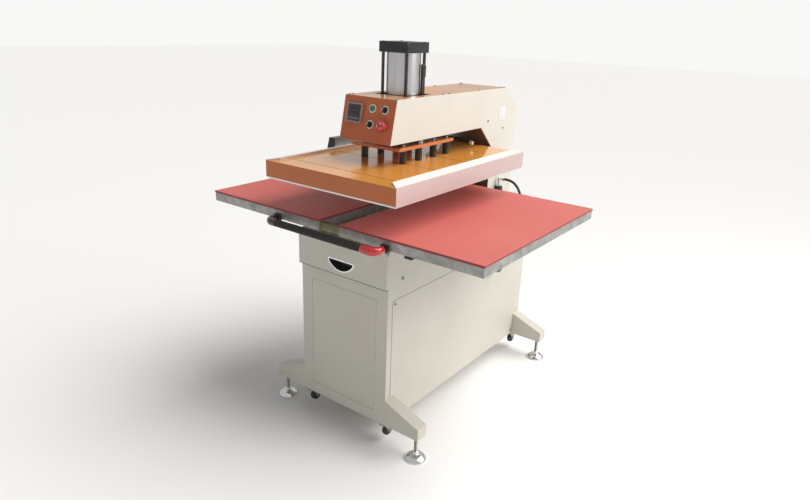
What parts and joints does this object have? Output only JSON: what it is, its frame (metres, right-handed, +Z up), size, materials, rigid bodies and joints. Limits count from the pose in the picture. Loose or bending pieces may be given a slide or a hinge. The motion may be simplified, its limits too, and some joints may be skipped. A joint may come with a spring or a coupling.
{
  "type": "heat press",
  "caption": "Pneumatic heat press with one heated platen on a C-shaped arm and twin shuttle tables on a steel cabinet.",
  "frame": {"origin": "on the floor below the centre of the machine's box", "axes": "+X to the operator's right along the tables, +Y to the back, +Z up"},
  "size_m": [1.3, 1.268, 1.532],
  "materials": {
    "cream_paint": "fine textured powder coat",
    "orange_paint": "glossy powder coat",
    "galvanised": "mottled zinc",
    "bright_trim": "satin stainless",
    "ground_steel": "ground",
    "chrome": "bright plated",
    "cast_aluminium": "anodised",
    "head_black": "black anodised",
    "post_black": "black oxide",
    "heating_aluminium": "machined",
    "silicone_red": "matte silicone",
    "foam_black": "matte foam",
    "black_plastic": "moulded",
    "grey_plastic": "moulded",
    "green_plastic": "moulded",
    "red_plastic": "moulded",
    "hose_black": "polyurethane tube",
    "castor_black": "moulded wheel",
    "zinc": "zinc plated",
    "bronze": "passivated"
  },
  "bodies": {
    "frame": {"front_leg_frame": "cream_paint", "rear_leg_frame": "cream_paint", "cabinet_frame": "cream_paint", "lower_front_panel": "cream_paint", "side_panels": "cream_paint", "cabinet_fasteners": "zinc", "upper_housing": "cream_paint", "drawer_runners": "zinc", "guide_blocks": "black_plastic", "arm_side_plates": "cream_paint", "arm_top_cover": "orange_paint", "arm_bottom_plate": "orange_paint", "control_panel": "orange_paint", "temperature_controller": "grey_plastic", "button_bezels": "chrome", "cylinder_heads": "head_black", "cylinder_barrel": "cast_aluminium", "tie_rods": "ground_steel", "cylinder_mount_plate": "ground_steel", "air_valve": "black_plastic", "air_elbow": "chrome", "air_hose": "hose_black", "filter_regulator": "grey_plastic", "power_gland": "black_plastic", "castor_plates": "zinc"},
    "press": {"press_rods": "ground_steel", "pressure_plate": "orange_paint", "spacer_posts": "post_black", "platen_cover": "orange_paint", "platen_side_trims": "bright_trim", "heating_plate": "heating_aluminium", "platen_cable_gland": "chrome", "heater_lead": "hose_black", "terminal_box": "cast_aluminium"},
    "tables": {"table_plates": "galvanised", "silicone_pads": "silicone_red", "guide_rails": "ground_steel", "connecting_bars": "bronze", "handle_frame": "black_plastic", "handle_grip": "foam_black"},
    "drawer": {"drawer_front": "cream_paint", "drawer_tray": "zinc"},
    "start_button": {"start_button": "green_plastic"},
    "left_selector": {"left_selector": "black_plastic"},
    "right_selector": {"right_selector": "black_plastic"},
    "estop_stem": {"estop_stem": "black_plastic"},
    "estop_head": {"estop_head": "red_plastic"},
    "regulator_knob": {"regulator_knob": "black_plastic"},
    "castor_fork_front_left": {"castor_fork_front_left": "zinc"},
    "castor_wheel_front_left": {"castor_wheel_front_left": "castor_black"},
    "foot_front_left": {"foot_front_left": "chrome"},
    "castor_fork_front_right": {"castor_fork_front_right": "zinc"},
    "castor_wheel_front_right": {"castor_wheel_front_right": "castor_black"},
    "foot_front_right": {"foot_front_right": "chrome"},
    "castor_fork_rear_left": {"castor_fork_rear_left": "zinc"},
    "castor_wheel_rear_left": {"castor_wheel_rear_left": "castor_black"},
    "foot_rear_left": {"foot_rear_left": "chrome"},
    "castor_fork_rear_right": {"castor_fork_rear_right": "zinc"},
    "castor_wheel_rear_right": {"castor_wheel_rear_right": "castor_black"},
    "foot_rear_right": {"foot_rear_right": "chrome"}
  },
  "joints": [
    {"name": "press_slide", "type": "slide", "parent": "frame", "child": "press", "axis": [0, 0, -1], "range_m": [0, 0.1125], "deforming": ["heater_lead"]},
    {"name": "table_slide", "type": "slide", "parent": "frame", "child": "tables", "axis": [1, 0, 0], "range_m": [-0.3495, 0.3495]},
    {"name": "drawer_slide", "type": "slide", "parent": "frame", "child": "drawer", "axis": [0, -1, 0], "range_m": [0, 0.3]},
    {"name": "start_press", "type": "slide", "parent": "frame", "child": "start_button", "axis": [0, 0.9782, -0.2079], "range_m": [0, 0.004], "stiffness_N_per_m": 400},
    {"name": "left_selector_turn", "type": "hinge", "parent": "frame", "child": "left_selector", "pos_m": [0.018, -0.34937, 1.24314], "axis": [0, -0.9782, 0.2079], "range_deg": [-90, 0]},
    {"name": "right_selector_turn", "type": "hinge", "parent": "frame", "child": "right_selector", "pos_m": [0.078, -0.33731, 1.29987], "axis": [0, -0.9782, 0.2079], "range_deg": [-90, 0]},
    {"name": "estop_press", "type": "slide", "parent": "frame", "child": "estop_stem", "axis": [0, 0.9782, -0.2079], "range_m": [0, 0.0045]},
    {"name": "estop_twist", "type": "hinge", "parent": "estop_stem", "child": "estop_head", "pos_m": [0.075, -0.34937, 1.24314], "axis": [0, -0.9782, 0.2079], "range_deg": [-45, 0]},
    {"name": "regulator_turn", "type": "hinge", "parent": "frame", "child": "regulator_knob", "pos_m": [0.253, 0.298, 0.7], "axis": [0, 0, 1], "range_deg": [-720, 720]},
    {"name": "castor_swivel_front_left", "type": "hinge", "parent": "frame", "child": "castor_fork_front_left", "pos_m": [-0.2, -0.4485, 0.094], "axis": [0, 0, 1], "continuous": true},
    {"name": "castor_roll_front_left", "type": "hinge", "parent": "castor_fork_front_left", "child": "castor_wheel_front_left", "pos_m": [-0.2, -0.4305, 0.055], "axis": [1, 0, 0], "continuous": true},
    {"name": "foot_screw_front_left", "type": "slide", "parent": "frame", "child": "foot_front_left", "axis": [0, 0, -1], "range_m": [-0.028, 0.015]},
    {"name": "castor_swivel_front_right", "type": "hinge", "parent": "frame", "child": "castor_fork_front_right", "pos_m": [0.2, -0.4485, 0.094], "axis": [0, 0, 1], "continuous": true},
    {"name": "castor_roll_front_right", "type": "hinge", "parent": "castor_fork_front_right", "child": "castor_wheel_front_right", "pos_m": [0.2, -0.4305, 0.055], "axis": [1, 0, 0], "continuous": true},
    {"name": "foot_screw_front_right", "type": "slide", "parent": "frame", "child": "foot_front_right", "axis": [0, 0, -1], "range_m": [-0.028, 0.015]},
    {"name": "castor_swivel_rear_left", "type": "hinge", "parent": "frame", "child": "castor_fork_rear_left", "pos_m": [-0.2, 0.5995, 0.094], "axis": [0, 0, 1], "continuous": true},
    {"name": "castor_roll_rear_left", "type": "hinge", "parent": "castor_fork_rear_left", "child": "castor_wheel_rear_left", "pos_m": [-0.2, 0.6175, 0.055], "axis": [1, 0, 0], "continuous": true},
    {"name": "foot_screw_rear_left", "type": "slide", "parent": "frame", "child": "foot_rear_left", "axis": [0, 0, -1], "range_m": [-0.028, 0.015]},
    {"name": "castor_swivel_rear_right", "type": "hinge", "parent": "frame", "child": "castor_fork_rear_right", "pos_m": [0.2, 0.5995, 0.094], "axis": [0, 0, 1], "continuous": true},
    {"name": "castor_roll_rear_right", "type": "hinge", "parent": "castor_fork_rear_right", "child": "castor_wheel_rear_right", "pos_m": [0.2, 0.6175, 0.055], "axis": [1, 0, 0], "continuous": true},
    {"name": "foot_screw_rear_right", "type": "slide", "parent": "frame", "child": "foot_rear_right", "axis": [0, 0, -1], "range_m": [-0.028, 0.015]}
  ]
}
